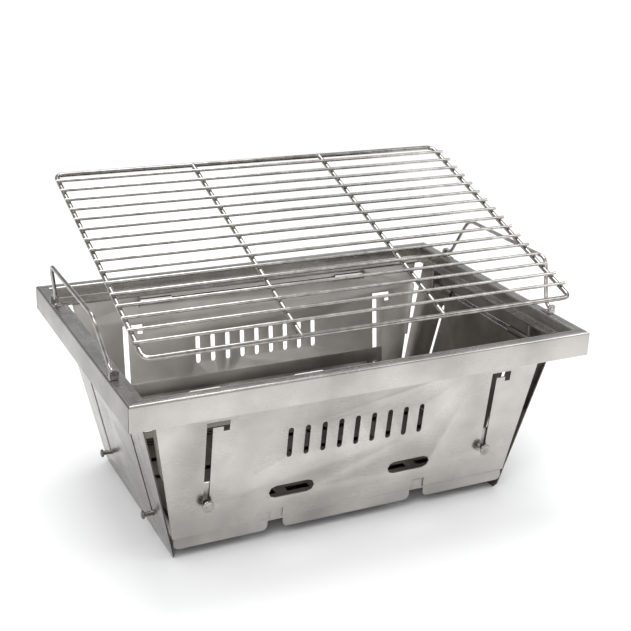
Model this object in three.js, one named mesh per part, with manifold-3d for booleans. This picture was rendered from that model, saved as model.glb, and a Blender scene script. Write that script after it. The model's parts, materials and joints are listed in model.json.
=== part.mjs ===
// Folding tabletop charcoal grill in sheet steel, in millimetres, +Z up.
// X runs along the grill and Y from its front to its back, and the origin is on the
// ground under the middle of the grill. Four leaning walls hang from hinge pins under
// a flat top frame, and the cooking grate is drawn lifted and tilted above it.
import * as THREE from "three";
import Module from "manifold-3d";
import { mergeVertices } from "three/addons/utils/BufferGeometryUtils.js";

const wasm = await Module();
wasm.setup();

// Overall sizes
const frameLength = 350;
const frameDepth = 236;
const frameTop = 140;

// Sheet steel, the gap kept between neighbours, how far a cut runs past its piece, and how
// near two points are one
const sheet = 1;
const clearance = 0.3;
const overrun = 8;
const samePlace = 0.0001;

// Top frame: apron outside, ledge on top, a drop inside it and the seat below
const apronHeight = 18;
const ledgeWidth = 8;
const seatDrop = 8.8;
const seatThickness = 1.2;
const endSeatWidth = 10;
const longSeatWidth = 16;

// Wall planes: how far inside the apron's foot they start, and their spread down to the ground
const endInset = 14.4;
const endSpread = 28;
const longInset = 23.3;
const longSpread = 14.7;
const wallFloorGap = 0.8;
const footCornerRadius = 4;
const footGap = 1.5;
const topGap = 8;
const returnDrop = 8;
const returnLength = 45;

// Hinges
const pinRadius = 1.5;
const knuckleRadius = 3;
const knuckleWidth = 26;
const lugThickness = 1.6;
const lugHalfWidth = 3.2;
const frontHingeDrop = 10;
const backHingeDrop = 5;
const endHingeDrop = 13;
const longKnuckleOffset = 86;
const endKnuckleOffset = 56;

// Slots, vents and notches in the walls
const slotWidth = 4.4;
const slotInset = 20.6;
const slotBelowStud = 2.5;
const slotTopDrop = 13;
const hookReach = 12;
const hookDrop = 3.6;
const airSlotOffset = 47.5;
const airSlotLength = 35;
const airSlotHeight = 10;
const airSlotLevel = 40.6;
const ventCount = 9;
const ventPitch = 13;
const ventWidth = 4;
const ventHeight = 24;
const ventLevel = 80;
const notchOffset = 58;
const notchWidth = 10;
const notchHeight = 8;
const slitInset = 30;
const slitWidth = 4.2;
const slitBelowPin = 2.6;
const slitTopDrop = 12;

// Support bars and the studs that ride in the hooked slots
const barOverhang = 6;
const barAboveAirSlot = 2.4;
const barHeight = 11;
const barEndWidth = 14;
const barBelowStud = 5;
const barThickness = 1.5;
const studHeight = 43;
const studRadius = 1.8;
const studReach = 4;
const studHeadRadius = 4.4;
const headThickness = 1;

// Floor plate with its lips, tongues, ears and pins
const floorEndGap = 2.4;
const floorSideGap = 0.2;
const floorTop = 17.2;
const lipHeight = 8.2;
const lipCorner = 4;
const tongueGap = 1;
const tongueRise = 6.8;
const lipNotchMargin = 1;
const earWidth = 10;
const earRise = 7.8;
const floorPinRise = 4.8;
const floorPinRadius = 1.7;
const floorPinHeadRadius = 3.1;
const floorPinReach = 9;

// Charcoal tray
const trayEndGap = 6;
const traySideGap = 19.8;
const trayHeight = 4;
const trayColumns = 9;
const trayRows = 5;
const traySlotLength = 18;
const traySlotWidth = 6;
const trayHoleShare = 0.86;

// Cooking grate
const grateEndGap = 4;
const grateSideGap = 1.75;
const grateCorner = 6;
const rimRadius = 2;
const rodRadius = 1.4;
const rodCount = 16;
const rodOverhang = 1;
const crossbarShare = 1 / 6;
const grateTilt = 18.2;
const grateShift = -5.9;
const grateLift = 198.7;

// Wire bails and the lugs they turn in
const bailWire = 1.5;
const bailFootHalf = 69;
const bailTopHalf = 54;
const bailRise = 34;
const bailBend = 5;
const bailToe = 7.5;
const bailPivotHeight = 3.6;
const bailLean = 11;

// Facets of round shapes
const wireSides = 8;
const pinSides = 12;
const arcSteps = 4;
const bendSteps = 4;

// Positions that follow from the sizes
const halfX = frameLength / 2;
const halfY = frameDepth / 2;
const recessX = halfX - ledgeWidth;
const recessY = halfY - ledgeWidth;
const planeHeight = frameTop - apronHeight;
const endFootHalf = halfX - endInset - endSpread;
const longFootHalf = halfY - longInset - longSpread;
const seatTop = frameTop - seatDrop;
const seatBottom = seatTop - seatThickness;
const frontHingeHeight = seatBottom - frontHingeDrop;
const backHingeHeight = seatBottom - backHingeDrop;
const endHingeHeight = seatBottom - endHingeDrop;
const boreRadius = pinRadius + clearance;
const endLean = Math.atan2(endSpread, planeHeight);
const longLean = Math.atan2(longSpread, planeHeight);
const endPlane = (height) => endFootHalf + (endSpread * height) / planeHeight;
const longPlane = (height) => longFootHalf + (longSpread * height) / planeHeight;
const floorHalfLength = endPlane(floorTop) - floorEndGap;
const floorHalfDepth = longPlane(floorTop) - floorSideGap;
const floorPinHeight = floorTop + floorPinRise;
const longWallBottom = floorTop + wallFloorGap;
const slotOffset = endFootHalf - slotInset;
const slitOffset = longFootHalf - slitInset;
const bailX = halfX - ledgeWidth / 2;

const steel = new THREE.MeshStandardMaterial({ color: 0xc4c1bd, roughness: 0.32, metalness: 1 });
const wireSteel = new THREE.MeshStandardMaterial({ color: 0xd8d8d8, roughness: 0.18, metalness: 1 });
const studSteel = new THREE.MeshStandardMaterial({ color: 0x8f8b87, roughness: 0.3, metalness: 1 });

// Solids
// A closed solid from a three.js geometry, turned the right way out
function solid(geometry) {
  const bare = geometry.clone();
  bare.deleteAttribute("normal");
  bare.deleteAttribute("uv");
  const merged = mergeVertices(bare, samePlace);
  const vertProperties = merged.attributes.position.array;
  const make = (triVerts) => new wasm.Manifold(new wasm.Mesh({ numProp: 3, vertProperties, triVerts }));
  const faces = new Uint32Array(merged.index.array);
  const made = make(faces);
  return made.volume() < 0 ? make(faces.slice().reverse()) : made;
}

function join(solids) {
  return solids.reduce((whole, next) => whole.add(next));
}

// A block between two corners
function block(low, high) {
  const size = high.map((value, axis) => value - low[axis]);
  const made = new THREE.BoxGeometry(...size);
  return solid(made.translate(...low.map((value, axis) => value + size[axis] / 2)));
}

// A round rod along X, centred at a point
function rod(radius, length, centre, sides) {
  const made = new THREE.CylinderGeometry(radius, radius, length, sides);
  made.rotateY(Math.PI / sides).rotateZ(Math.PI / 2);
  return solid(made.translate(...centre));
}

// A flat plate from outline points and holes, centred on its own plane
function plate(points, holes, thickness) {
  const shape = new THREE.Shape(points.map(([x, y]) => new THREE.Vector2(x, y)));
  for (const hole of holes) shape.holes.push(new THREE.Path(hole.map(([x, y]) => new THREE.Vector2(x, y))));
  const made = new THREE.ExtrudeGeometry(shape, { depth: thickness, bevelEnabled: false });
  return solid(made.translate(0, 0, -thickness / 2));
}

// Points of a slot with round ends; its length runs along X, or along Y if upright
function roundSlot(centre, length, width, upright) {
  const points = [];
  for (const end of [1, -1]) {
    for (let i = 0; i <= arcSteps; i += 1) {
      const turn = (Math.PI * i) / arcSteps - Math.PI / 2;
      const along = end * ((length - width) / 2 + (width / 2) * Math.cos(turn));
      const across = end * (width / 2) * Math.sin(turn);
      const [x, y] = upright ? [-across, along] : [along, across];
      points.push([centre[0] + x, centre[1] + y]);
    }
  }
  return points;
}

// Points of a rectangle
function rectangle(reachX, reachY) {
  return [
    [-reachX, -reachY],
    [reachX, -reachY],
    [reachX, reachY],
    [-reachX, reachY],
  ];
}

// A flat rectangular ring lying level between two heights
function ring(outerX, outerY, innerX, innerY, low, high) {
  const made = plate(rectangle(outerX, outerY), [rectangle(innerX, innerY)], high - low);
  return made.translate([0, 0, (low + high) / 2]);
}

// Points of a path whose corners are rounded off
function bentPoints(corners, bend, closed) {
  const points = [];
  const last = corners.length - 1;
  corners.forEach((corner, i) => {
    if (!closed && (i === 0 || i === last)) {
      points.push(corner);
      return;
    }
    const before = corners[(i + last) % (last + 1)];
    const after = corners[(i + 1) % (last + 1)];
    const enter = corner.clone().add(before.clone().sub(corner).setLength(bend));
    const leave = corner.clone().add(after.clone().sub(corner).setLength(bend));
    const curve = new THREE.QuadraticBezierCurve3(enter, corner, leave);
    points.push(...curve.getPoints(bendSteps));
  });
  return points;
}

// A wire of round section through points, with flat ends or closed on itself
function wire(points, radius, closed, normal) {
  const count = points.length;
  const vertices = [];
  points.forEach((point, i) => {
    const before = closed ? points[(i + count - 1) % count] : points[Math.max(i - 1, 0)];
    const after = closed ? points[(i + 1) % count] : points[Math.min(i + 1, count - 1)];
    const came = point.clone().sub(before).normalize();
    const goes = after.clone().sub(point).normalize();
    const along = came.add(goes).normalize();
    const across = new THREE.Vector3().crossVectors(along, normal);
    for (let side = 0; side < wireSides; side += 1) {
      const turn = (2 * Math.PI * (side + 0.5)) / wireSides;
      const spot = point.clone().addScaledVector(across, radius * Math.cos(turn));
      vertices.push(...spot.addScaledVector(normal, radius * Math.sin(turn)).toArray());
    }
  });
  const faces = [];
  for (let i = 0; i < (closed ? count : count - 1); i += 1) {
    for (let side = 0; side < wireSides; side += 1) {
      const a = i * wireSides + side;
      const b = i * wireSides + ((side + 1) % wireSides);
      const c = ((i + 1) % count) * wireSides + side;
      const d = ((i + 1) % count) * wireSides + ((side + 1) % wireSides);
      faces.push(a, b, d, a, d, c);
    }
  }
  if (!closed) {
    const end = (count - 1) * wireSides;
    for (let side = 1; side < wireSides - 1; side += 1) {
      faces.push(0, side + 1, side);
      faces.push(end, end + side, end + side + 1);
    }
  }
  const made = new THREE.BufferGeometry();
  made.setAttribute("position", new THREE.Float32BufferAttribute(vertices, 3));
  made.setIndex(faces);
  return solid(made);
}

// The part
const grill = new THREE.Group();

function add(name, body, material) {
  const made = body.getMesh();
  const geometry = new THREE.BufferGeometry();
  geometry.setAttribute("position", new THREE.BufferAttribute(made.vertProperties, 3));
  geometry.setIndex(new THREE.BufferAttribute(made.triVerts, 1));
  geometry.computeVertexNormals();
  const mesh = new THREE.Mesh(geometry, material);
  mesh.name = name;
  grill.add(mesh);
}

// Top frame
const apron = ring(halfX, halfY, halfX - sheet, halfY - sheet, frameTop - apronHeight, frameTop);
const ledge = ring(halfX, halfY, recessX, recessY, frameTop - sheet, frameTop);
const drop = ring(recessX + sheet, recessY + sheet, recessX, recessY, seatBottom, frameTop);
const seat = ring(
  recessX + sheet,
  recessY + sheet,
  recessX - endSeatWidth,
  recessY - longSeatWidth,
  seatBottom,
  seatTop,
);
add("top_frame", join([apron, ledge, drop, seat]), steel);

// Walls
// A wall is drawn in its own plane, X along it and Y down from the hinge pin as a
// negative number. Its outer face looks along +Z, and then it is stood up in its lean.
const down = (lean, hinge) => (height) => (height - hinge) / Math.cos(lean);

function standUp(body, lean, plane, hinge) {
  const turn = new THREE.Matrix4().makeRotationX(Math.PI / 2 + lean);
  const place = new THREE.Matrix4().makeTranslation(0, -plane(hinge), hinge);
  return body.transform(place.multiply(turn).toArray());
}

// The wall reaches past its hinge pin up to the seat. Knuckles bridge a narrow window that
// the pin runs in, and a notch passes each lug, whose far corners swing close to it.
function withKnuckles(wall, offset, top) {
  const lugMiddle = offset + knuckleWidth / 2 + clearance + lugThickness / 2;
  const windowHalf = lugMiddle + lugThickness / 2 + 2 * clearance;
  const notchFoot = -Math.hypot(lugHalfWidth, lugHalfWidth / 2) - clearance;
  const low = [-windowHalf, -boreRadius, -overrun];
  let made = wall.subtract(block(low, [windowHalf, boreRadius, overrun]));
  for (const side of [-1, 1]) {
    const near = side * lugMiddle - lugThickness / 2 - clearance;
    const far = side * lugMiddle + lugThickness / 2 + clearance;
    made = made.subtract(block([near, notchFoot, -overrun], [far, top + sheet, overrun]));
    made = made.add(rod(knuckleRadius, knuckleWidth, [side * offset, 0, 0], pinSides));
  }
  return made.subtract(rod(boreRadius, 2 * windowHalf, [0, 0, 0], pinSides));
}

// Slot for a stud: straight up, then a short hook to one side that turns down at its end
function hookedSlot(x, foot, top) {
  const half = slotWidth / 2;
  const tip = x + hookReach;
  return [
    [x - half, foot + half],
    [x - half / 2, foot],
    [x + half / 2, foot],
    [x + half, foot + half],
    [x + half, top - slotWidth],
    [tip - half, top - slotWidth],
    [tip - half, top - slotWidth - hookDrop],
    [tip + half, top - slotWidth - hookDrop],
    [tip + half, top],
    [x - half, top],
  ];
}

function longWall(hinge, hookSign) {
  const at = down(longLean, hinge);
  const top = at(seatBottom) - 2 * clearance;
  const bottom = at(longWallBottom);
  const footHalf = endPlane(longWallBottom) - footGap;
  const topHalf = endPlane(planeHeight) - topGap;
  const halfAt = (y) => footHalf + ((topHalf - footHalf) * (y - bottom)) / (top - bottom);
  const notches = [-1, 1].flatMap((side) => [
    [side * notchOffset - notchWidth / 2, bottom],
    [side * notchOffset - notchWidth / 2, bottom + notchHeight],
    [side * notchOffset + notchWidth / 2, bottom + notchHeight],
    [side * notchOffset + notchWidth / 2, bottom],
  ]);
  const points = [[-footHalf, bottom], ...notches, [footHalf, bottom], [topHalf, top], [-topHalf, top]];
  const holes = [];
  for (const side of [-1, 1]) {
    const foot = at(studHeight) - slotBelowStud;
    const slot = hookedSlot(hookSign * side * slotOffset, foot, at(frontHingeHeight - slotTopDrop));
    holes.push(slot.map(([x, y]) => [hookSign * x, y]));
    holes.push(roundSlot([side * airSlotOffset, at(airSlotLevel)], airSlotLength, airSlotHeight, false));
  }
  for (let i = 0; i < ventCount; i += 1) {
    const x = (i - (ventCount - 1) / 2) * ventPitch;
    holes.push(roundSlot([x, at(ventLevel)], ventHeight, ventWidth, true));
  }
  const parts = [plate(points, holes, sheet)];
  const returnDepth = seatBottom - hinge - clearance;
  for (const side of [-1, 1]) {
    const high = at(frontHingeHeight - returnDrop);
    const low = high - returnLength;
    const strip = [
      [side * halfAt(low), low],
      [side * halfAt(high), high],
      [side * (halfAt(high) - sheet), high],
      [side * (halfAt(low) - sheet), low],
    ];
    parts.push(plate(strip, [], returnDepth).translate([0, 0, sheet / 2 - returnDepth / 2]));
  }
  return standUp(withKnuckles(join(parts), longKnuckleOffset, top), longLean, longPlane, hinge);
}

function endWall() {
  const at = down(endLean, endHingeHeight);
  const top = at(seatBottom) - 2 * clearance;
  const bottom = at(0) - sheet;
  const footHalf = longPlane(0);
  const topHalf = longPlane(seatBottom);
  const points = [
    [-footHalf + footCornerRadius, bottom],
    [footHalf - footCornerRadius, bottom],
    [footHalf, at(footCornerRadius)],
    [topHalf, top],
    [-topHalf, top],
    [-footHalf, at(footCornerRadius)],
  ];
  const slitTop = at(endHingeHeight - slitTopDrop);
  const slitFoot = at(floorPinHeight) - slitBelowPin;
  const length = slitTop - slitFoot;
  const middle = (slitTop + slitFoot) / 2;
  const holes = [-1, 1].map((side) => roundSlot([side * slitOffset, middle], length, slitWidth, true));
  const made = withKnuckles(plate(points, holes, sheet), endKnuckleOffset, top);
  const stood = standUp(made, endLean, endPlane, endHingeHeight);
  return stood.subtract(block([-frameLength, -frameLength, -frameTop], [frameLength, frameLength, 0]));
}

// Hinge pin and the two lugs that carry it, drawn on the front side
function hingePin(plane, hinge, offset) {
  const length = 2 * (offset + knuckleWidth / 2 + clearance + lugThickness + clearance);
  return rod(pinRadius, length, [0, -plane(hinge), hinge], pinSides);
}

function hingeLug(plane, hinge, offset, side) {
  const y = plane(hinge);
  const top = seatBottom - clearance;
  const points = [
    [-y - lugHalfWidth, top],
    [-y - lugHalfWidth, hinge - lugHalfWidth / 2],
    [-y - lugHalfWidth / 2, hinge - lugHalfWidth],
    [-y + lugHalfWidth / 2, hinge - lugHalfWidth],
    [-y + lugHalfWidth, hinge - lugHalfWidth / 2],
    [-y + lugHalfWidth, top],
  ];
  const x = side * (offset + knuckleWidth / 2 + clearance + lugThickness / 2);
  const made = plate(points, [], lugThickness).rotate([90, 0, 0]).rotate([0, 0, 90]);
  return made.translate([x, 0, 0]).subtract(rod(boreRadius, frameLength, [0, -y, hinge], pinSides));
}

// Every side is drawn at the front and turned to its place
const sides = {
  front: { turn: 0, plane: longPlane, hinge: frontHingeHeight, offset: longKnuckleOffset, hookSign: 1 },
  back: { turn: 180, plane: longPlane, hinge: backHingeHeight, offset: longKnuckleOffset, hookSign: -1 },
  right: { turn: 90, plane: endPlane, hinge: endHingeHeight, offset: endKnuckleOffset },
  left: { turn: -90, plane: endPlane, hinge: endHingeHeight, offset: endKnuckleOffset },
};

// A headed rod along +Z: a flat head inside, a shank and a domed head outside
function headedRod(innerFace, radius, headRadius, reach) {
  const profile = [
    [0, innerFace - headThickness],
    [headRadius, innerFace - headThickness],
    [headRadius, innerFace],
    [radius, innerFace],
    [radius, reach],
    [headRadius, reach],
    [headRadius, reach + headThickness],
    [headRadius / 2, reach + 2 * headThickness],
    [0, reach + 2 * headThickness],
  ];
  const made = new THREE.LatheGeometry(profile.map(([r, h]) => new THREE.Vector2(r, h)), pinSides);
  return solid(made.rotateX(Math.PI / 2));
}

// Support bar: a strip above the air slots, with an end that drops to each stud
function supportBar(hinge) {
  const at = down(longLean, hinge);
  const half = slotOffset + barOverhang;
  const foot = at(studHeight) - barBelowStud;
  const bottom = at(airSlotLevel) + airSlotHeight / 2 + barAboveAirSlot;
  const points = [
    [-half, foot],
    [-half + barEndWidth, foot],
    [-half + barEndWidth, bottom],
    [half - barEndWidth, bottom],
    [half - barEndWidth, foot],
    [half, foot],
    [half, bottom + barHeight],
    [-half, bottom + barHeight],
  ];
  const middle = -sheet / 2 - clearance - barThickness / 2;
  const bar = plate(points, [], barThickness).translate([0, 0, middle]);
  const bores = [-1, 1].map((side) => {
    const turned = rod(studRadius + clearance, overrun, [0, 0, 0], pinSides).rotate([0, 90, 0]);
    return turned.translate([side * slotOffset, at(studHeight), 0]);
  });
  return standUp(bar.subtract(join(bores)), longLean, longPlane, hinge);
}

function supportStud(hinge, side) {
  const inner = -sheet / 2 - 2 * clearance - barThickness;
  const made = headedRod(inner, studRadius, studHeadRadius, studReach);
  const placed = made.translate([side * slotOffset, down(longLean, hinge)(studHeight), 0]);
  return standUp(placed, longLean, longPlane, hinge);
}

for (const [side, { turn, plane, hinge, offset, hookSign }] of Object.entries(sides)) {
  const long = plane === longPlane;
  const set = (name, body, material) => add(`${side}_${name}`, body.rotate([0, 0, turn]), material);
  set(long ? "wall" : "side_wall", long ? longWall(hinge, hookSign) : endWall(), steel);
  set("hinge_pin", hingePin(plane, hinge, offset), wireSteel);
  set("hinge_lug_1", hingeLug(plane, hinge, offset, -1), steel);
  set("hinge_lug_2", hingeLug(plane, hinge, offset, 1), steel);
  if (long) {
    set("support_bar", supportBar(hinge), steel);
    set("support_stud_1", supportStud(hinge, -1), studSteel);
    set("support_stud_2", supportStud(hinge, 1), studSteel);
  } else {
    const inner = floorHalfLength - sheet - clearance;
    const reach = plane(floorPinHeight) + floorPinReach - 2 * headThickness;
    const pin = headedRod(inner, floorPinRadius, floorPinHeadRadius, reach).rotate([90, 0, 0]);
    set("floor_pin_1", pin.translate([-slitOffset, 0, floorPinHeight]), studSteel);
    set("floor_pin_2", pin.translate([slitOffset, 0, floorPinHeight]), studSteel);
  }
}

// Floor plate: lips under the long walls, tongues in their notches, ears for the pins
const floorParts = [
  block([-floorHalfLength, -floorHalfDepth, floorTop - sheet], [floorHalfLength, floorHalfDepth, floorTop]),
];
const lipGapHalf = notchWidth / 2 + lipNotchMargin;
const lipSpans = [
  [-floorHalfLength, -notchOffset - lipGapHalf],
  [-notchOffset + lipGapHalf, notchOffset - lipGapHalf],
  [notchOffset + lipGapHalf, floorHalfLength],
];

// A lip hangs from the floor's edge, and its two lower corners are rounded off
function floorLip(from, to, middleY) {
  const low = floorTop - lipHeight;
  const arc = (x, side) =>
    Array.from({ length: arcSteps + 1 }, (_, i) => {
      const turn = (Math.PI / 2) * (side < 0 ? 1 - i / arcSteps : i / arcSteps);
      const across = lipCorner * (1 - Math.sin(turn));
      return [x - side * across, low + lipCorner * (1 - Math.cos(turn))];
    });
  const points = [[from, floorTop], ...arc(from, -1), ...arc(to, 1), [to, floorTop]];
  return plate(points, [], sheet).rotate([90, 0, 0]).translate([0, middleY, 0]);
}

for (const side of [-1, 1]) {
  const near = Math.min(side * floorHalfDepth, side * (floorHalfDepth - sheet));
  for (const [from, to] of lipSpans) {
    floorParts.push(floorLip(from, to, near + sheet / 2));
  }
  for (const end of [-1, 1]) {
    const middle = end * notchOffset;
    floorParts.push(
      block(
        [middle - notchWidth / 2 + tongueGap, near, floorTop - sheet],
        [middle + notchWidth / 2 - tongueGap, near + sheet, floorTop + tongueRise],
      ),
    );
    const low = Math.min(end * floorHalfLength, end * (floorHalfLength - sheet));
    floorParts.push(
      block(
        [low, side * slitOffset - earWidth / 2, floorTop - sheet],
        [low + sheet, side * slitOffset + earWidth / 2, floorTop + earRise],
      ),
    );
  }
}
const earBores = [-1, 1].map((side) =>
  rod(floorPinRadius + clearance, frameLength, [0, side * slitOffset, floorPinHeight], pinSides),
);
add("floor_plate", join(floorParts).subtract(join(earBores)), steel);

// Charcoal tray: a slotted sheet with turned-down long edges, lying on the floor
const trayHalfLength = floorHalfLength - trayEndGap;
const trayHalfDepth = floorHalfDepth - traySideGap;
const trayBottom = floorTop + clearance;
const trayTop = trayBottom + trayHeight;
const columnPitch = (2 * trayHalfLength * trayHoleShare) / (trayColumns - 1);
const rowPitch = (2 * trayHalfDepth * trayHoleShare) / (trayRows - 1);
const trayHoles = [];
for (let column = 0; column < trayColumns; column += 1) {
  for (let row = 0; row < trayRows; row += 1) {
    const x = (column - (trayColumns - 1) / 2) * columnPitch;
    const y = (row - (trayRows - 1) / 2) * rowPitch;
    trayHoles.push(
      block(
        [x - traySlotLength / 2, y - traySlotWidth / 2, trayBottom],
        [x + traySlotLength / 2, y + traySlotWidth / 2, trayTop + sheet],
      ),
    );
  }
}
const traySheet = block(
  [-trayHalfLength, -trayHalfDepth, trayTop - sheet],
  [trayHalfLength, trayHalfDepth, trayTop],
);
const trayParts = [traySheet.subtract(join(trayHoles))];
for (const side of [-1, 1]) {
  const near = Math.min(side * trayHalfDepth, side * (trayHalfDepth - sheet));
  trayParts.push(block([-trayHalfLength, near, trayBottom], [trayHalfLength, near + sheet, trayTop]));
}
add("charcoal_tray", join(trayParts), steel);

// Cooking grate: made level about its own middle, then lifted and tilted
const grateLength = 2 * (recessX - grateEndGap);
const grateDepth = 2 * (recessY - grateSideGap);
const upright = new THREE.Vector3(0, 0, 1);
const rimX = grateLength / 2 - rimRadius;
const rimY = grateDepth / 2 - rimRadius;
const rimCorners = rectangle(rimX, rimY).map(([x, y]) => new THREE.Vector3(x, y, 0));
function setGrate(name, body) {
  const tilted = body.rotate([grateTilt, 0, 0]);
  add(name, tilted.translate([0, grateShift, grateLift]), wireSteel);
}
setGrate("grate_rim", wire(bentPoints(rimCorners, grateCorner, true), rimRadius, true, upright));
const crossLength = 2 * (rimY - rimRadius - clearance);
for (const [index, side] of [-1, 1].entries()) {
  const made = rod(rimRadius, crossLength, [0, 0, 0], wireSides).rotate([0, 0, 90]);
  setGrate(`grate_crossbar_${index + 1}`, made.translate([side * grateLength * crossbarShare, 0, 0]));
}
const rodLevel = rimRadius + clearance + rodRadius;
const rodPitch = (2 * rimY) / (rodCount + 1);
for (let i = 1; i <= rodCount; i += 1) {
  const made = rod(rodRadius, grateLength + 2 * rodOverhang, [0, i * rodPitch - rimY, rodLevel], wireSides);
  setGrate(`grate_rod_${String(i).padStart(2, "0")}`, made);
}

// Bails: bent wires whose toes turn in lugs on the ledge, drawn a little leant out
const bailCorners = [
  [-bailFootHalf - bailToe, 0],
  [-bailFootHalf, 0],
  [-bailTopHalf, bailRise],
  [bailTopHalf, bailRise],
  [bailFootHalf, 0],
  [bailFootHalf + bailToe, 0],
].map(([y, z]) => new THREE.Vector3(0, y, z));
const bailPath = bentPoints(bailCorners, bailBend, false);
const pivotZ = frameTop + clearance + bailPivotHeight;
const bailLugPoints = [
  [-lugHalfWidth, -bailPivotHeight],
  [lugHalfWidth, -bailPivotHeight],
  [lugHalfWidth, lugHalfWidth / 2],
  [lugHalfWidth / 2, lugHalfWidth],
  [-lugHalfWidth / 2, lugHalfWidth],
  [-lugHalfWidth, lugHalfWidth / 2],
];
const bails = [
  ["left", -1],
  ["right", 1],
];
for (const [name, side] of bails) {
  const made = wire(bailPath, bailWire, false, new THREE.Vector3(1, 0, 0));
  const leant = made.rotate([0, side * bailLean, 0]);
  add(`${name}_bail`, leant.translate([side * bailX, 0, pivotZ]), wireSteel);
  for (const [index, end] of [-1, 1].entries()) {
    const lug = plate(bailLugPoints, [], lugThickness).rotate([90, 0, 0]);
    const bore = rod(bailWire + clearance, overrun, [0, 0, 0], pinSides).rotate([0, 0, 90]);
    const middle = end * (bailFootHalf + bailBend + lugThickness);
    const placed = lug.subtract(bore).translate([side * bailX, middle, pivotZ]);
    add(`${name}_bail_lug_${index + 1}`, placed, steel);
  }
}

export default grill;
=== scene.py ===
# %% [markdown]
# # A folding charcoal grill in bare steel
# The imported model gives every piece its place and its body. This lesson dresses it: folded
# sheet with soft bends, bright wires with welds, turned studs, and steels made from noise
# alone. Every shape starts as a few vertices or a primitive, and operators do the rest.

import json
import math

import bmesh
import bpy
from mathutils import Matrix, Vector


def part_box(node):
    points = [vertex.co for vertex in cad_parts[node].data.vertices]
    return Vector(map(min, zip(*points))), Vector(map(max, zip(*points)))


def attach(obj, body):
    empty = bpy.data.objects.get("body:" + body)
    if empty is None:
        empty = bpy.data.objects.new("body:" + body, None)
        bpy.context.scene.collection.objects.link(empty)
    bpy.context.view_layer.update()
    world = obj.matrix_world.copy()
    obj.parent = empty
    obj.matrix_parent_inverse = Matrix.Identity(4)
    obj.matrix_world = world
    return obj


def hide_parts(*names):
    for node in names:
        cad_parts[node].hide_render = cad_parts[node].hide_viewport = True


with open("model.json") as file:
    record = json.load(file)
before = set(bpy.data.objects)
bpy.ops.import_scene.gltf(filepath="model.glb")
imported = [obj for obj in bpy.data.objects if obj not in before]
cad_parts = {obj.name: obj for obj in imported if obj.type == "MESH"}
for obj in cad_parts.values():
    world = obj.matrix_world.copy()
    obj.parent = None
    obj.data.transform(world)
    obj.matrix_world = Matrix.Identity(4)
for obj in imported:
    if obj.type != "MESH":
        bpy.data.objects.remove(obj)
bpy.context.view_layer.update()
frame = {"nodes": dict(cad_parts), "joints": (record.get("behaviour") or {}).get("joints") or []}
nodes = frame["nodes"]
joints = {joint["name"]: joint for joint in frame["joints"]}

# %% [markdown]
# ## Scale
# Lengths are real, and Blender's unit is a metre, so a length is written in millimetres and
# multiplied by one small value. The size of each piece stands in the cell that makes it,
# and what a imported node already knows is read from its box.

# %% Scale
mm = 0.001
frame_low, frame_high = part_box("top_frame")
print("top frame in mm", [round((b - a) / mm, 1) for a, b in zip(frame_low, frame_high)])

# %% [markdown]
# ## Camera
# The camera stands where the photograph was taken from: in front, a little to the left and
# above. Its place, direction and roll were fitted to the edges of the top frame. Angles
# would do as well, but a turn built from three axes shows plainly where the camera looks.

# %% Camera
camera_place = Vector((-363.75 * mm, -741.18 * mm, 447.28 * mm))
look_shares = Vector((0.4202, 0.8355, -0.3542))
roll = math.radians(2.203)
sensor_width_in_mm = 36
lens_in_mm = 66.76
forward = look_shares.normalized()
level_right = forward.cross(Vector((0, 0, 1))).normalized()
level_up = level_right.cross(forward)
right = math.cos(roll) * level_right + math.sin(roll) * level_up
up = -math.sin(roll) * level_right + math.cos(roll) * level_up

camera_data = bpy.data.cameras.new("camera")
camera_data.sensor_width = sensor_width_in_mm
camera_data.lens = lens_in_mm
camera = bpy.data.objects.new("camera", camera_data)
turn = Matrix((right, up, -forward)).transposed().to_4x4()
camera.matrix_world = Matrix.Translation(camera_place) @ turn
bpy.context.scene.collection.objects.link(camera)
bpy.context.scene.camera = camera
print("camera looks along", [round(value, 3) for value in forward])

# %% [markdown]
# ## Colours and nodes
# Colours are written as sRGB hex codes, as a picture program shows them, and one function
# turns them into the linear values that a shader wants. A second function adds any node
# with its settings and links, so that a material reads as a short list of nodes.

# %% Colours and nodes
def srgb(code):
    """A hex code as linear red, green, blue and alpha, by the numbers of the sRGB standard."""
    channels = [int(code[i : i + 2], 16) / 255 for i in (0, 2, 4)]
    linear = [c / 12.92 if c <= 0.04045 else ((c + 0.055) / 1.055) ** 2.4 for c in channels]
    return (*linear, 1)


def add_node(tree, kind, inputs=None, **settings):
    node = tree.nodes.new(kind)
    for key, value in settings.items():
        setattr(node, key, value)
    for key, value in (inputs or {}).items():
        socket = node.inputs[key]
        if isinstance(value, bpy.types.NodeSocket):
            tree.links.new(value, socket)
        else:
            socket.default_value = value
    return node


def new_material(name):
    material = bpy.data.materials.new(name)
    material.use_nodes = True
    tree = material.node_tree
    shader = tree.nodes["Principled BSDF"]
    shader.inputs["Metallic"].default_value = 1
    place = add_node(tree, "ShaderNodeTexCoord").outputs["Object"]
    return material, tree, shader, place


print("mid grey in linear light", round(srgb("808080")[0], 3))

# %% [markdown]
# ## Noise and ramps
# Every finish below is noise at some real size. Noise repeats about once for each unit of
# its coordinates, so the coordinates are divided by the size of the pattern, and a small
# stretch along one axis draws it out into long streaks. A ramp turns noise into colour,
# and a range turns it into roughness.

# %% Noise and ramps
def noise_at(tree, place, cell, stretch=(1, 1, 1), detail=2.0):
    scale = [share / cell for share in stretch]
    spread = add_node(tree, "ShaderNodeMapping", {"Vector": place, "Scale": scale})
    return add_node(
        tree,
        "ShaderNodeTexNoise",
        {"Vector": spread.outputs["Vector"], "Scale": 1.0, "Detail": detail},
    ).outputs["Fac"]


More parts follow.
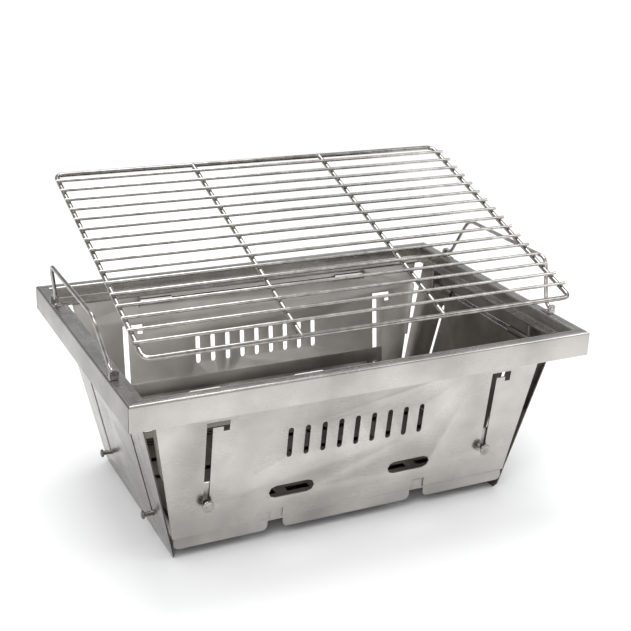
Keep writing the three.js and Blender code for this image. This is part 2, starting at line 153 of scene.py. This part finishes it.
def ramp(tree, factor, dark, light, start=0.3, end=0.7):
    made = add_node(tree, "ShaderNodeValToRGB", {"Fac": factor})
    first, last = made.color_ramp.elements
    first.position = start
    last.position = end
    first.color = srgb(dark)
    last.color = srgb(light)
    return made.outputs["Color"]


def spread_value(tree, factor, low, high, start=0.25, end=0.75):
    limits = {"From Min": start, "From Max": end, "To Min": low, "To Max": high}
    return add_node(tree, "ShaderNodeMapRange", {"Value": factor, **limits}).outputs["Result"]


print("a pattern one millimetre wide has the scale", round(1 / mm))

# %% [markdown]
# ## Brushed stainless sheet
# Such grills are made of cold-rolled stainless steel. Here it is taken as brushed along each
# wall. Fine scratches blur the mirror in one direction, rolling and fingers leave broad
# clouds, and thin sheet is never quite flat. So the base colour follows the clouds, the
# roughness follows smudges and scratches, and two bumps lay scratches over waves. An
# anisotropic shader could blur as well, but noise also breaks the surface up. Real brushing
# is under a tenth of a millimetre wide and would not show, so it is drawn half a
# millimetre wide.

# %% Brushed sheet
cloud_size = 45 * mm
smudge_size = 14 * mm
brushing_size = 0.5 * mm
scratch_depth = 0.05 * mm
wave_depth = 1.2 * mm
scratch_share = 0.06
wave_share = 0.3
brushing_swing = 0.05


def brushed_steel(name, dark, light, rough_low, rough_high, grain):
    material, tree, shader, place = new_material(name)
    clouds = noise_at(tree, place, cloud_size, detail=3.0)
    brushing = noise_at(tree, place, brushing_size, stretch=grain, detail=4.0)
    smudges = noise_at(tree, place, smudge_size, detail=5.0)
    tree.links.new(ramp(tree, clouds, dark, light), shader.inputs["Base Color"])
    blur = spread_value(tree, smudges, rough_low, rough_high)
    streaks = spread_value(tree, brushing, -brushing_swing, brushing_swing)
    roughness = add_node(tree, "ShaderNodeMath", {0: blur, 1: streaks}, operation="ADD")
    tree.links.new(roughness.outputs["Value"], shader.inputs["Roughness"])
    scratches = add_node(
        tree, "ShaderNodeBump", {"Height": brushing, "Strength": scratch_share, "Distance": scratch_depth}
    ).outputs["Normal"]
    waves = add_node(
        tree,
        "ShaderNodeBump",
        {"Height": clouds, "Strength": wave_share, "Distance": wave_depth, "Normal": scratches},
    )
    tree.links.new(waves.outputs["Normal"], shader.inputs["Normal"])
    return material


print("brushing is drawn", round(brushing_size / mm, 2), "mm wide")

# %% Sheet finishes
along_x = (0.02, 1, 1)
along_y = (1, 0.02, 1)
# Long walls and frame, brushed along X: bright, with long soft reflections.
long_steel = brushed_steel("long_sheet_steel", "A8A4A0", "C5C1BD", 0.19, 0.3, along_x)
# Side walls, brushed along Y: the same sheet, made a shade darker as painted shade.
end_steel_painted_shade = brushed_steel("end_sheet_steel_painted_shade", "8A8682", "AAA6A2", 0.2, 0.32, along_y)
# The frame's end aprons: painted reflection, darkened for the dim side of the room that they mirror.
apron_painted_reflection = brushed_steel("end_apron_painted_reflection", "75726F", "95928E", 0.18, 0.3, along_y)
# The inner side of the walls: matt, without a mirror, and painted pale as painted light for the light that
# fills the inside.
inner_steel_painted_light = brushed_steel("inner_sheet_painted_light", "CFCBC6", "EAE6E1", 0.46, 0.6, along_x)
# The right wall's inside: painted shade, nearly black, a dark brown-grey with a dull shine,
# for the shade it stands in and the dark room it mirrors.
right_inside_painted_shade = brushed_steel("right_inside_painted_shade_steel", "56524E", "7C7771", 0.3, 0.44, along_y)
# The cut through the sheet, left dull by the laser: thin dark lines round every slot.
cut_steel = brushed_steel("laser_cut_edge", "4A4642", "6E6963", 0.45, 0.6, along_x)
# Floor, bars and hinge lugs, in plain mill finish: grey and soft.
floor_steel = brushed_steel("floor_sheet_steel", "989490", "BDB9B5", 0.28, 0.42, along_x)
# The charcoal tray: painted shade makes it nearly black for the deep shade inside, so the air slots look
# dark.
tray_painted_shade = brushed_steel("tray_painted_shade_steel", "221F1D", "47423D", 0.42, 0.58, along_x)
print("sheet finishes", [m.name for m in bpy.data.materials])

# %% [markdown]
# ## Bright wire
# Wire is drawn through a die, which leaves it round and bright with faint marks, and
# polishing makes it nearly a mirror. A mirror shows its surroundings more than its own
# colour, so these steels have low roughness and only a slight grain. One function makes
# them all, from the darkest bead to the brightest rod.

# %% Bright wire and turned studs
draw_mark_size = 6 * mm
draw_mark_depth = 0.1 * mm
draw_mark_share = 0.15


def bright_steel(name, dark, light, rough_low, rough_high):
    material, tree, shader, place = new_material(name)
    drawn = noise_at(tree, place, draw_mark_size, detail=4.0)
    tree.links.new(ramp(tree, drawn, dark, light), shader.inputs["Base Color"])
    tree.links.new(spread_value(tree, drawn, rough_low, rough_high), shader.inputs["Roughness"])
    marks = add_node(
        tree, "ShaderNodeBump", {"Height": drawn, "Strength": draw_mark_share, "Distance": draw_mark_depth}
    )
    tree.links.new(marks.outputs["Normal"], shader.inputs["Normal"])
    return material


# The grate's thin rods, polished: bright lines with a sharp glint.
rod_steel = bright_steel("rod_steel", "A5A29D", "CFCCC7", 0.07, 0.14)
# Its thicker rim and crossbars: as sharp a glint, on a darker line that is a painted reflection of the dim
# room beside them.
rim_steel_painted_reflection = bright_steel("rim_steel_painted_reflection", "7E7B77", "ABA8A3", 0.07, 0.14)
# Bails, their lugs and the support studs, left as made: a softer shine.
bail_steel = bright_steel("bail_steel", "8F8B87", "B8B4B0", 0.12, 0.22)
# Floor pins and hinge pins, turned: darker, and satin rather than bright.
stud_steel = bright_steel("stud_steel", "5C5854", "8C8782", 0.2, 0.34)
# Weld beads, dulled where they cooled: dark and rough.
weld_steel = bright_steel("weld_steel", "6E6A66", "A5A09A", 0.3, 0.5)
print("all finishes", len(bpy.data.materials))

# %% [markdown]
# ## Placing a piece
# A new piece rides on the body it moves with, takes a material slot and hides the imported
# nodes it stands for. Its place is in its mesh, so the object stays at the origin, where
# the patterns of its material keep their size. Normals are turned outwards. Shading is
# smooth, and only edges sharper than a facet of a bend are kept sharp.

# %% Place a piece
sharp_angle = math.radians(35)
same_place = 0.001 * mm


def place_piece(obj, material, body, replaced=()):
    obj.data.materials.clear()
    obj.data.materials.append(material)
    bpy.context.scene.collection.objects.link(obj)
    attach(obj, body)
    if replaced:
        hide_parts(*replaced)
    return obj


def finish_mesh(name, bm, material, body, replaced=()):
    bmesh.ops.recalc_face_normals(bm, faces=bm.faces)
    mesh = bpy.data.meshes.new(name)
    bm.to_mesh(mesh)
    bm.free()
    mesh.shade_smooth()
    mesh.set_sharp_from_angle(angle=sharp_angle)
    obj = bpy.data.objects.new(name, mesh)
    return place_piece(obj, material, body, replaced)


print("edges sharper than", round(math.degrees(sharp_angle)), "degrees stay sharp")

# %% [markdown]
# ## Softening a cut sheet
# A laser cuts sheet square, and deburring rolls its edges over a little. That tiny radius
# catches the light and tells the eye that this is metal. The imported node already has the
# outline, slots and vents, so a copy of it is merged, cleaned and bevelled. A Bevel modifier
# would round it too, but on a finished mesh the faces can be sorted at once: each takes a
# finish by where it looks, outside, inside, or along the narrow cut.
# The inside takes painted light or painted shade for the light inside the grill.

# %% Soften a cut sheet
edge_softening = 0.18 * mm
edge_lean = 0.5
cut_area = 100 * mm * mm
flat_angle = math.radians(2)
corner_angle = math.radians(50)
sliver = 0.01 * mm


def rolled(bm, edges, width):
    bmesh.ops.bevel(
        bm,
        geom=edges,
        offset=width,
        segments=2,
        profile=0.5,
        affect="EDGES",
        clamp_overlap=True,
        material=-1,
    )


def softened(node_name, material, body):
    """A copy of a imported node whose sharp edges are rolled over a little."""
    bm = bmesh.new()
    bm.from_mesh(nodes[node_name].data)
    bmesh.ops.remove_doubles(bm, verts=bm.verts, dist=same_place)
    bmesh.ops.dissolve_limit(bm, angle_limit=flat_angle, verts=bm.verts, edges=bm.edges)
    pairs = [edge for edge in bm.edges if len(edge.link_faces) == 2]
    rolled(bm, [edge for edge in pairs if edge.calc_face_angle() > corner_angle], edge_softening)
    bmesh.ops.dissolve_degenerate(bm, dist=sliver, edges=bm.edges)
    return finish_mesh(f"{node_name}_soft", bm, material, body, [node_name])


def finish_wall(wall, inner):
    """Give a softened wall its inner material, with painted light or painted shade, and the dark cut round
    its slots.
    """
    wall.data.materials.append(inner)
    wall.data.materials.append(cut_steel)
    places = [vert.co for vert in wall.data.vertices]
    middle = sum(places, Vector()) / len(places)
    # A wall looks away from the middle of the grill, along X or along Y.
    if abs(middle.x) > abs(middle.y):
        outward = Vector((math.copysign(1, middle.x), 0, 0))
    else:
        outward = Vector((0, math.copysign(1, middle.y), 0))
    for face in wall.data.polygons:
        looks = face.normal.dot(outward)
        if abs(looks) <= edge_lean and face.area < cut_area:
            face.material_index = 2
        elif looks <= edge_lean:
            face.material_index = 1


print("edges roll over by", round(edge_softening / mm, 2), "mm")

# %% [markdown]
# ## Bending wire
# Real wire is bent round a pin, so its corners are round. A path of corner points is
# rounded first. Then a small disc is extruded from point to point and turned each time to
# face along the wire, which keeps the section round and the skin closed. A curve with a
# bevel would look the same, but extruding shows what such a curve does inside.

# %% Bend a wire
wire_sides = 12


def rounded_path(corners, radius, closed, steps):
    """Corner points joined by straight runs and smooth bends."""
    points = []
    count = len(corners)
    for i, corner in enumerate(corners):
        if not closed and i in (0, count - 1):
            points.append(corner)
            continue
        before = (corners[i - 1] - corner).normalized()
        after = (corners[(i + 1) % count] - corner).normalized()
        for k in range(steps + 1):
            t = k / steps
            enter = corner + before * radius
            leave = corner + after * radius
            points.append(enter.lerp(corner, t).lerp(corner.lerp(leave, t), t))
    return points


def wire(name, paths, plane, radius, material, body, replaced, closed=False):
    """A round face is extruded from point to point; plane is the normal of the wire's own plane."""
    bm = bmesh.new()
    for points in paths:
        count = len(points)
        places = []
        for i, point in enumerate(points):
            before = points[i - 1] if closed or i else point
            after = points[(i + 1) % count] if closed or i + 1 < count else point
            along = (after - before).normalized()
            turned = Matrix((plane.cross(along), plane, along)).transposed().to_4x4()
            places.append(Matrix.Translation(point) @ turned)
        if closed:
            places.append(places[0])
        disc = bmesh.ops.create_circle(
            bm, cap_ends=True, segments=wire_sides, radius=radius, matrix=places[0]
        )
        start_face = disc["verts"][0].link_faces[0]
        end_face = start_face
        for here, there in zip(places, places[1:]):
            made = bmesh.ops.extrude_face_region(bm, geom=[end_face])
            if end_face is not start_face:
                bmesh.ops.delete(bm, geom=[end_face], context="FACES_ONLY")
            faces = [part for part in made["geom"] if isinstance(part, bmesh.types.BMFace)]
            end_face = next(face for face in faces if len(face.verts) == wire_sides)
            bmesh.ops.transform(bm, matrix=there @ here.inverted(), verts=list(end_face.verts))
        if closed:
            bmesh.ops.delete(bm, geom=[start_face, end_face], context="FACES_ONLY")
    if closed:
        bmesh.ops.remove_doubles(bm, verts=bm.verts, dist=same_place)
    return finish_mesh(name, bm, material, body, replaced)


print("a wire has", wire_sides, "sides")

# %% [markdown]
# ## Top frame
# The frame is four strips, each folded on a press: apron outside, flat ledge on top, then a
# drop and a seat that carries the grate. The strips meet in a mitre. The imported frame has
# square folds, so this one is drawn anew: a middle line with round bends, given thickness
# to both sides. Each strip's end outline is cut to the mitre and extruded, and the copy is
# mirrored to the other end. A hairline is left at each mitre, where two strips are joined.

# %% Folded profile
sheet = 1.0 * mm
bend = 1.3 * mm
bend_steps = 4
ledge_width = 8 * mm
seat_drop = 8.8 * mm
seat_thickness = 1.2 * mm
long_seat_width = 16 * mm
end_seat_width = 10 * mm
top = frame_high[2]
apron_foot = frame_low[2]


def folded_profile(seat_width):
    half = sheet / 2
    seat_level = top - seat_drop - seat_thickness + half
    corners = [
        Vector((half, apron_foot)),
        Vector((half, top - half)),
        Vector((ledge_width + half, top - half)),
        Vector((ledge_width + half, seat_level)),
        Vector((ledge_width + seat_width, seat_level)),
    ]
    line = rounded_path(corners, bend, closed=False, steps=bend_steps)
    outer, inner = [], []
    for i, point in enumerate(line):
        ahead = line[min(i + 1, len(line) - 1)] - line[max(i - 1, 0)]
        side = Vector((-ahead.y, ahead.x)).normalized() * half
        outer.append(point + side)
        inner.append(point - side)
    return outer + inner[::-1]


long_profile = folded_profile(long_seat_width)
end_profile = folded_profile(end_seat_width)
print("points round the profile", len(long_profile))


# %% Four mitred rails
seam = 0.25 * mm


def add_rail(bm, turned, half_length, half_offset, profile, other):
    """Cap one mitred end, extrude it, and mirror the extruded outline to the other end."""
    outline = []
    for point, cut in zip(profile, other):
        place = Vector((half_length - cut.x - seam, point.x - half_offset, point.y))
        outline.append(bm.verts.new(turned @ place))
    cap = bm.faces.new(outline)
    made = bmesh.ops.extrude_face_region(bm, geom=[cap], use_keep_orig=True)
    far_verts = [part for part in made["geom"] if isinstance(part, bmesh.types.BMVert)]
    other_end = turned @ Matrix.Diagonal((-1, 1, 1)) @ turned.inverted()
    bmesh.ops.transform(bm, matrix=other_end.to_4x4(), verts=far_verts)


bm = bmesh.new()
for quarter in range(4):
    turned = Matrix.Rotation(quarter * math.pi / 2, 3, "Z")
    if quarter % 2 == 0:
        add_rail(bm, turned, frame_high[0], frame_high[1], long_profile, end_profile)
    else:
        add_rail(bm, turned, frame_high[1], frame_high[0], end_profile, long_profile)
top_frame = finish_mesh("top_frame_folded", bm, long_steel, "frame_body", ["top_frame"])
top_frame.data.materials.append(apron_painted_reflection)
# The upright faces across the ends take the aprons' darker steel, a painted reflection of a dim room.
for face in top_frame.data.polygons:
    if abs(face.normal.x) > edge_lean:
        face.material_index = 1
print("top frame faces", len(top_frame.data.polygons))

# %% [markdown]
# ## Walls, bars, floor and tray
# These are all flat sheet, cut by laser and partly folded, so the softening above suits
# every one of them. The long walls hinge under the frame, and each carries a bar inside.
# The side walls stand on the ground. The hinge lugs and pins under the frame are nearly out
# of sight, so the imported ones stay and only get a finish.

# %% Softened sheets
# The long walls' insides are painted paler as painted light.
for side in ("front", "back"):
    wall = softened(f"{side}_wall", long_steel, f"{side}_wall_body")
    finish_wall(wall, inner_steel_painted_light)
    softened(f"{side}_support_bar", floor_steel, f"{side}_bar_body")
# The left wall's inside takes painted light, and the right wall's inside takes painted shade.
for side, inside in (("left", inner_steel_painted_light), ("right", right_inside_painted_shade)):
    # The side walls' outsides are darker steel as painted shade.
    wall = softened(f"{side}_side_wall", end_steel_painted_shade, "frame_body")
    finish_wall(wall, inside)
    for number in (1, 2):
        softened(f"{side}_bail_lug_{number}", bail_steel, "frame_body")
softened("floor_plate", floor_steel, "frame_body")
# The tray's near-black steel is painted shade.
softened("charcoal_tray", tray_painted_shade, "tray_body")
for part, material in (("hinge_lug", floor_steel), ("hinge_pin", stud_steel)):
    for name, node in nodes.items():
        if part in name:
            node.data.materials.clear()
            node.data.materials.append(material)

# %% [markdown]
# ## Cooking grate
# The grate is a bent rim with two crossbars, and sixteen thinner rods welded across their
# tops. An Array modifier could repeat the rods, but a loop gives each row its place for the
# welds as well. All is laid out level about its own middle, which keeps the sums simple,
# and one matrix then tilts and lifts it as the photograph shows it.

# %% Rim and crossbars
grate_length = 326 * mm
grate_depth = 216.5 * mm
grate_corner = 6 * mm
grate_tilt = math.radians(18.2)
grate_centre = Vector((0, -5.9 * mm, 198.7 * mm))
rim_radius = 1.8 * mm
crossbar_share = 1 / 6
corner_steps = 10

lifted = Matrix.Translation(grate_centre) @ Matrix.Rotation(grate_tilt, 4, "X")
rim_x = grate_length / 2 - rim_radius
rim_y = grate_depth / 2 - rim_radius
corner_signs = ((-1, -1), (1, -1), (1, 1), (-1, 1))
rim_corners = [Vector((sx * rim_x, sy * rim_y, 0)) for sx, sy in corner_signs]
rim_line = rounded_path(rim_corners, grate_corner, closed=True, steps=corner_steps)
rim_path = [lifted @ point for point in rim_line]
grate_plane = lifted.to_3x3() @ Vector((0, 0, 1))
# The rim's darker line is a painted reflection.
wire(
    "grate_rim_wire",
    [rim_path],
    grate_plane,
    rim_radius,
    rim_steel_painted_reflection,
    "grate_body",
    ["grate_rim"],
    closed=True,
)

crossbar_x = grate_length * crossbar_share
crossbar_paths = [
    [lifted @ Vector((sign * crossbar_x, end * rim_y, 0)) for end in (-1, 1)] for sign in (-1, 1)
]
crossbars = ["grate_crossbar_1", "grate_crossbar_2"]
wire("grate_crossbar_wires", crossbar_paths, grate_plane, rim_radius, rim_steel_painted_reflection, "grate_body", crossbars)
print("points round the rim", len(rim_path))

# %% Rods
rod_radius = 1.2 * mm
rod_count = 16

rod_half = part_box("grate_rod_01")[1][0]
rod_level = rim_radius + rod_radius
rod_pitch = 2 * rim_y / (rod_count + 1)
rod_rows = [i * rod_pitch - rim_y for i in range(1, rod_count + 1)]
rod_names = [f"grate_rod_{i:02d}" for i in range(1, rod_count + 1)]
rod_paths = [[lifted @ Vector((end * rod_half, y, rod_level)) for end in (-1, 1)] for y in rod_rows]
wire("grate_rod_wires", rod_paths, grate_plane, rod_radius, rod_steel, "grate_body", rod_names)
print("rods", len(rod_paths), "pitch in mm", round(rod_pitch / mm, 2))

# %% [markdown]
# ## Weld beads
# Wires that cross like this are spot welded: the current melts both a little, and they
# sink into each other with a small flat bead. Flattened spheres with few faces are enough,
# because there are dozens of them. The crossbars' ends, butted to the rim, get a rounder
# swell. All beads are one mesh, as they share one finish and one body.

# %% Weld beads
weld_radius = 1.5 * mm
bead_flatness_share = 0.55
swell_share = 1.15

bm = bmesh.new()
flat = Matrix.Diagonal((1, 1, bead_flatness_share, 1))
for y in rod_rows:
    for x in (-rim_x, -crossbar_x, crossbar_x, rim_x):
        spot = lifted @ Matrix.Translation((x, y, rim_radius)) @ flat
        bmesh.ops.create_uvsphere(bm, u_segments=10, v_segments=6, radius=weld_radius, matrix=spot)
for x in (-crossbar_x, crossbar_x):
    for end in (-1, 1):
        spot = lifted @ Matrix.Translation((x, end * rim_y, 0))
        swell = rim_radius * swell_share
        bmesh.ops.create_uvsphere(bm, u_segments=12, v_segments=8, radius=swell, matrix=spot)
beads = finish_mesh("grate_weld_beads", bm, weld_steel, "grate_body")
print("bead faces", len(beads.data.polygons))

# %% [markdown]
# ## Bails
# A bail is one piece of wire, bent four times into a handle. Its two toes run through the
# lugs on the ledge and are its pivot. It is drawn upright in a plane, where every corner is
# a plain pair of numbers, and then leant out about the line through its toes.

# %% Two bails
bail_wire = 1.5 * mm
bail_x = 171 * mm
bail_foot_half = 69 * mm
bail_top_half = 54 * mm
bail_rise = 34 * mm
bail_bend = 7 * mm
bail_bend_steps = 6
bail_toe = 7.5 * mm
bail_lean = math.radians(11)
pivot_below_lug_top = 3.2 * mm

pivot_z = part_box("left_bail_lug_1")[1][2] - pivot_below_lug_top
bail_shape = [
    (-bail_foot_half - bail_toe, 0),
    (-bail_foot_half, 0),
    (-bail_top_half, bail_rise),
    (bail_top_half, bail_rise),
    (bail_foot_half, 0),
    (bail_foot_half + bail_toe, 0),
]
for side, sign in (("left", -1), ("right", 1)):
    leant = Matrix.Translation((sign * bail_x, 0, pivot_z)) @ Matrix.Rotation(sign * bail_lean, 4, "Y")
    corners = [leant @ Vector((0, y, z)) for y, z in bail_shape]
    path = rounded_path(corners, bail_bend, closed=False, steps=bail_bend_steps)
    bail_plane = leant.to_3x3() @ Vector((1, 0, 0))
    body = f"{side}_bail_body"
    wire(f"{side}_bail_wire", [path], bail_plane, bail_wire, bail_steel, body, [f"{side}_bail"])
print("bail pivot height in mm", round(pivot_z / mm, 1))

# %% [markdown]
# ## Riveted lug feet
# A lug is a small plate bent over at its foot, and a domed rivet holds the foot to the
# ledge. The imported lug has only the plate. A bevelled cube makes the foot, and a flattened
# sphere sunk into it makes the rivet, because at this size nothing finer shows.

# %% Riveted lug feet
foot_size = Vector((5.6 * mm, 8 * mm, 0.9 * mm))
foot_bevel = 0.25 * mm
rivet_radius = 1.7 * mm
rivet_flatness_share = 0.6

bm = bmesh.new()
for side in ("left", "right"):
    for number in (1, 2):
        low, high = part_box(f"{side}_bail_lug_{number}")
        inward = -1 if low[1] > 0 else 1
        inner_face = high[1] if inward > 0 else low[1]
        middle_x = (low[0] + high[0]) / 2
        middle_y = inner_face + inward * foot_size.y / 2
        place = Matrix.Translation((middle_x, middle_y, top + foot_size.z / 2))
        shape = place @ Matrix.Diagonal((*foot_size, 1))
        made = bmesh.ops.create_cube(bm, size=1, matrix=shape)
        edges = {edge for vert in made["verts"] for edge in vert.link_edges}
        rolled(bm, list(edges), foot_bevel)
        dome = Matrix.Translation((middle_x, middle_y, top + foot_size.z))
        dome = dome @ Matrix.Diagonal((1, 1, rivet_flatness_share, 1))
        bmesh.ops.create_uvsphere(bm, u_segments=16, v_segments=8, radius=rivet_radius, matrix=dome)
feet = finish_mesh("bail_lug_feet", bm, bail_steel, "frame_body")
print("lug feet faces", len(feet.data.polygons))

# %% [markdown]
# ## Studs and pins
# Studs like these are turned on a lathe, so they are made as a lathe makes them: half of
# the section is drawn and spun once round the axis. Cylinders put together would miss the
# rolled lip and the dome. A flat head sits inside the wall and a domed one outside, and the
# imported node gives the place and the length.

# %% Turned studs
head_thickness = 1 * mm
stud_lip = 0.35 * mm
dome_steps = 5
spin_steps = 24


def turned_pin(node_name, radius, head_radius, outward, material, body):
    """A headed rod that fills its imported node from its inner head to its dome."""
    verts = [Vector(v.co) for v in nodes[node_name].data.vertices]
    reach = [v.dot(outward) for v in verts]
    middle = sum(verts, Vector()) / len(verts)
    start = middle + outward * (min(reach) - middle.dot(outward))
    length = max(reach) - min(reach)
    neck = length - 2 * head_thickness
    profile = [
        (0, 0),
        (head_radius - stud_lip, 0),
        (head_radius, stud_lip),
        (head_radius, head_thickness),
        (radius, head_thickness),
        (radius, neck),
        (head_radius - stud_lip, neck),
        (head_radius, neck + stud_lip),
        (head_radius, neck + head_thickness),
    ]
    for k in range(1, dome_steps + 1):
        angle = k / dome_steps * math.pi / 2
        rise = head_thickness * (1 - math.sin(angle))
        profile.append((head_radius * math.cos(angle), length - rise))
    across = outward.orthogonal().normalized()
    bm = bmesh.new()
    ring = [bm.verts.new(start + across * r + outward * h) for r, h in profile]
    edges = [bm.edges.new(pair) for pair in zip(ring, ring[1:])]
    whole_turn = 2 * math.pi
    bmesh.ops.spin(
        bm,
        geom=ring + edges,
        cent=start,
        axis=outward,
        angle=whole_turn,
        steps=spin_steps,
        use_merge=True,
    )
    bmesh.ops.remove_doubles(bm, verts=bm.verts, dist=sliver)
    return finish_mesh(f"{node_name}_turned", bm, material, body, [node_name])


# %% Support studs and floor pins
stud_radius = 1.8 * mm
stud_head_radius = 4.4 * mm
floor_pin_radius = 1.7 * mm
floor_head_radius = 3.1 * mm

for side, joint_name, sign in (("front", "front_bar_slide", -1), ("back", "back_bar_slide", 1)):
    climb = Vector(joints[joint_name]["axis"])
    outward = Vector((0, sign * climb.z, -abs(climb.y))).normalized()
    for number in (1, 2):
        name = f"{side}_support_stud_{number}"
        body = f"{side}_bar_body"
        turned_pin(name, stud_radius, stud_head_radius, outward, bail_steel, body)
for side, sign in (("left", -1), ("right", 1)):
    for number in (1, 2):
        name = f"{side}_floor_pin_{number}"
        outward = Vector((sign, 0, 0))
        turned_pin(name, floor_pin_radius, floor_head_radius, outward, stud_steel, "frame_body")

# %% [markdown]
# ## Floor
# A product photograph stands on a pale sweep that fades to plain white. Near the object the
# floor is matt paint, so it keeps the shadow. Further out it glows plain white, but only
# for rays that see it directly, in a mirror or through glass. Other rays still meet paint,
# so the white background adds no light of its own to matt surfaces.

# %% Floor
# These three are sizes of the room, in metres.
floor_half = 30
white_from = 0.45
white_past = 1.1

bm = bmesh.new()
bmesh.ops.create_grid(bm, x_segments=1, y_segments=1, size=floor_half)
floor_mesh = bpy.data.meshes.new("studio_floor")
bm.to_mesh(floor_mesh)
bm.free()
studio_floor = bpy.data.objects.new("studio_floor", floor_mesh)
bpy.context.scene.collection.objects.link(studio_floor)
print("floor side in metres", 2 * floor_half)

# %% Floor paint
floor_blur = 0.6

floor_paint = bpy.data.materials.new("floor_paint")
floor_paint.use_nodes = True
tree = floor_paint.node_tree
paint = tree.nodes["Principled BSDF"]
paint.inputs["Base Color"].default_value = srgb("F4F4F4")
paint.inputs["Roughness"].default_value = floor_blur
place = add_node(tree, "ShaderNodeTexCoord").outputs["Object"]
reach = add_node(tree, "ShaderNodeVectorMath", {0: place}, operation="LENGTH").outputs["Value"]
span = {"Value": reach, "From Min": white_from, "From Max": white_past}
far = add_node(tree, "ShaderNodeMapRange", span).outputs["Result"]
rays = add_node(tree, "ShaderNodeLightPath").outputs
seen = rays["Is Camera Ray"]
for ray in ("Is Glossy Ray", "Is Transmission Ray"):
    either = add_node(tree, "ShaderNodeMath", {0: seen, 1: rays[ray]}, operation="MAXIMUM")
    seen = either.outputs["Value"]
white_share = add_node(tree, "ShaderNodeMath", {0: far, 1: seen}, operation="MULTIPLY").outputs["Value"]
white = add_node(tree, "ShaderNodeEmission", {"Color": srgb("FFFFFF"), "Strength": 1}).outputs["Emission"]
mixed = add_node(tree, "ShaderNodeMixShader", {0: white_share, 1: paint.outputs["BSDF"], 2: white})
tree.links.new(mixed.outputs["Shader"], tree.nodes["Material Output"].inputs["Surface"])
studio_floor.data.materials.append(floor_paint)
print("plain white from", white_from, "to", white_past, "m")

# %% [markdown]
# ## Sky
# Bright metal shows what stands round it, and in a room of plain white it would look like
# plaster. So the sky is white at the horizon and overhead, with a grey band between them.
# The ledges and the wires pick up the grey for their darker sides. The band is soft, so
# that low views show no hard horizon.

# %% Sky
world = bpy.data.worlds.new("studio_world")
world.use_nodes = True
bpy.context.scene.world = world
tree = world.node_tree
look = add_node(tree, "ShaderNodeTexCoord").outputs["Generated"]
height = add_node(tree, "ShaderNodeSeparateXYZ", {"Vector": look}).outputs["Z"]
bands = add_node(tree, "ShaderNodeValToRGB", {"Fac": height})
stops = [(0.0, "FFFFFF"), (0.1, "E6E7E9"), (0.28, "999CA0"), (0.4, "94979B"), (0.62, "F5F6F7")]
elements = bands.color_ramp.elements
elements.remove(elements[1])
for spot, code in stops[1:]:
    elements.new(spot)
for element, (spot, code) in zip(elements, stops):
    element.color = srgb(code)
sky = tree.nodes["Background"]
tree.links.new(bands.outputs["Color"], sky.inputs["Color"])
sky.inputs["Strength"].default_value = 1
print("sky bands", [code for spot, code in stops])

# %% [markdown]
# ## Light
# Three soft panels add what the sky can't: a key light from the left front that shapes the
# walls, a weak fill from the right, and a broad panel overhead that runs highlights along
# the ledge and the wires. They are large for their distance, so their shadows are soft.

# %% Light
# Each panel has its place and its side in metres, and its power in watts.
panels = {
    "key_panel": ((-0.9, -0.9, 1.5), 1.2, 15),
    "fill_panel": ((1.4, -0.9, 1.2), 1.0, 6),
    "top_panel": ((0.1, 0.6, 1.9), 1.2, 20),
}
aim_height = 100 * mm
aim = Vector((0, 0, aim_height))
for name, (spot, size, watts) in panels.items():
    light = bpy.data.lights.new(name, "AREA")
    light.energy = watts
    light.size = size
    lamp = bpy.data.objects.new(name, light)
    lamp.location = spot
    lamp.rotation_euler = (aim - Vector(spot)).to_track_quat("-Z", "Y").to_euler()
    bpy.context.scene.collection.objects.link(lamp)

bpy.context.scene.view_settings.view_transform = "Standard"
print("lights", list(panels))
